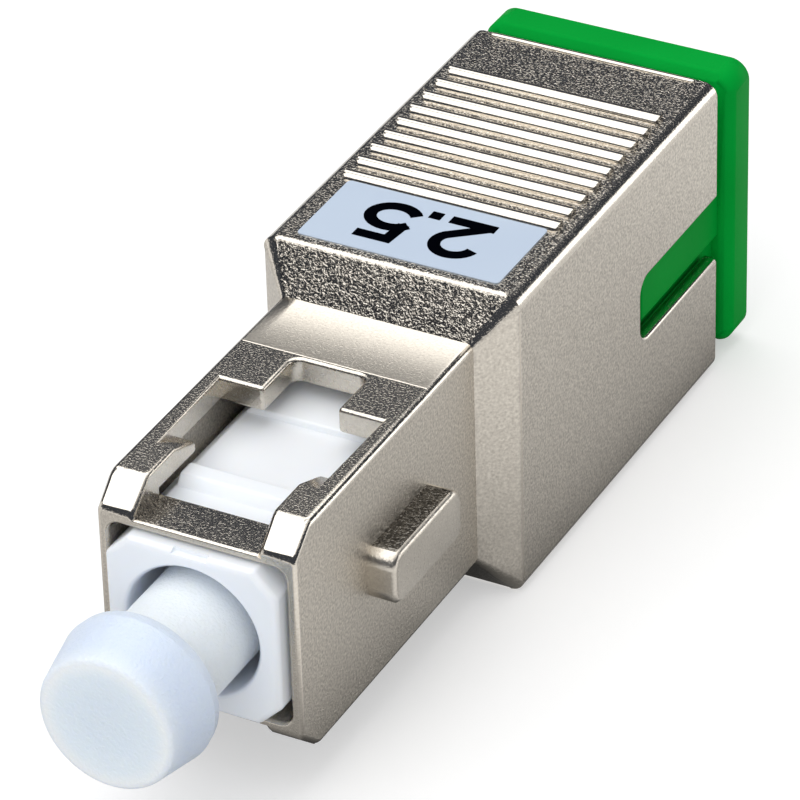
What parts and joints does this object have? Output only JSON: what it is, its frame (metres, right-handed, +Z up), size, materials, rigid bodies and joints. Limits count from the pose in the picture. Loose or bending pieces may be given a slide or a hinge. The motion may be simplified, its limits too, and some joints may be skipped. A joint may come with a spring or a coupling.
{
  "type": "fibre optic adapter",
  "caption": "Plug-to-socket fibre optic adapter: plated push-pull shell, sprung ceramic ferrule under a dust cap in front, latching port behind a green flange.",
  "frame": {"origin": "on the optical axis, in the plane of the shell's front face, where the plug enters a port", "axes": "+Y along the optical axis from the plug to the port, +X to the key side, +Z up to the ribbed top"},
  "size_m": [0.01, 0.0384, 0.0123],
  "materials": {
    "plated_shell": "satin nickel plate on a zinc die casting",
    "label_film": "satin label",
    "white_moulding": "moulded",
    "green_moulding": "moulded",
    "holder_moulding": "moulded",
    "plated_turning": "turned and plated",
    "zirconia": "ground",
    "spring_steel": "drawn wire",
    "cap_moulding": "frosted moulding"
  },
  "bodies": {
    "shell": {"outer_shell": "plated_shell", "value_label": "label_film"},
    "core": {"plug_frame": "white_moulding", "rear_housing": "green_moulding", "sleeve_holder": "holder_moulding", "seat_ring": "plated_turning", "alignment_sleeve": "zirconia", "ferrule_spring": "spring_steel"},
    "ferrule_set": {"ferrule": "zirconia", "ferrule_collar": "plated_turning"},
    "cap": {"dust_cap": "cap_moulding"}
  },
  "joints": [
    {"name": "push_pull", "type": "slide", "parent": "shell", "child": "core", "axis": [0, -1, 0], "range_m": [0, 0.00085]},
    {"name": "ferrule_float", "type": "slide", "parent": "core", "child": "ferrule_set", "axis": [0, 1, 0], "range_m": [0, 0.0007], "stiffness_N_per_m": 800, "deforming": ["ferrule_spring"]},
    {"name": "dust_cap_pull", "type": "slide", "parent": "ferrule_set", "child": "cap", "axis": [0, -1, 0], "range_m": [0, 0.012]}
  ]
}
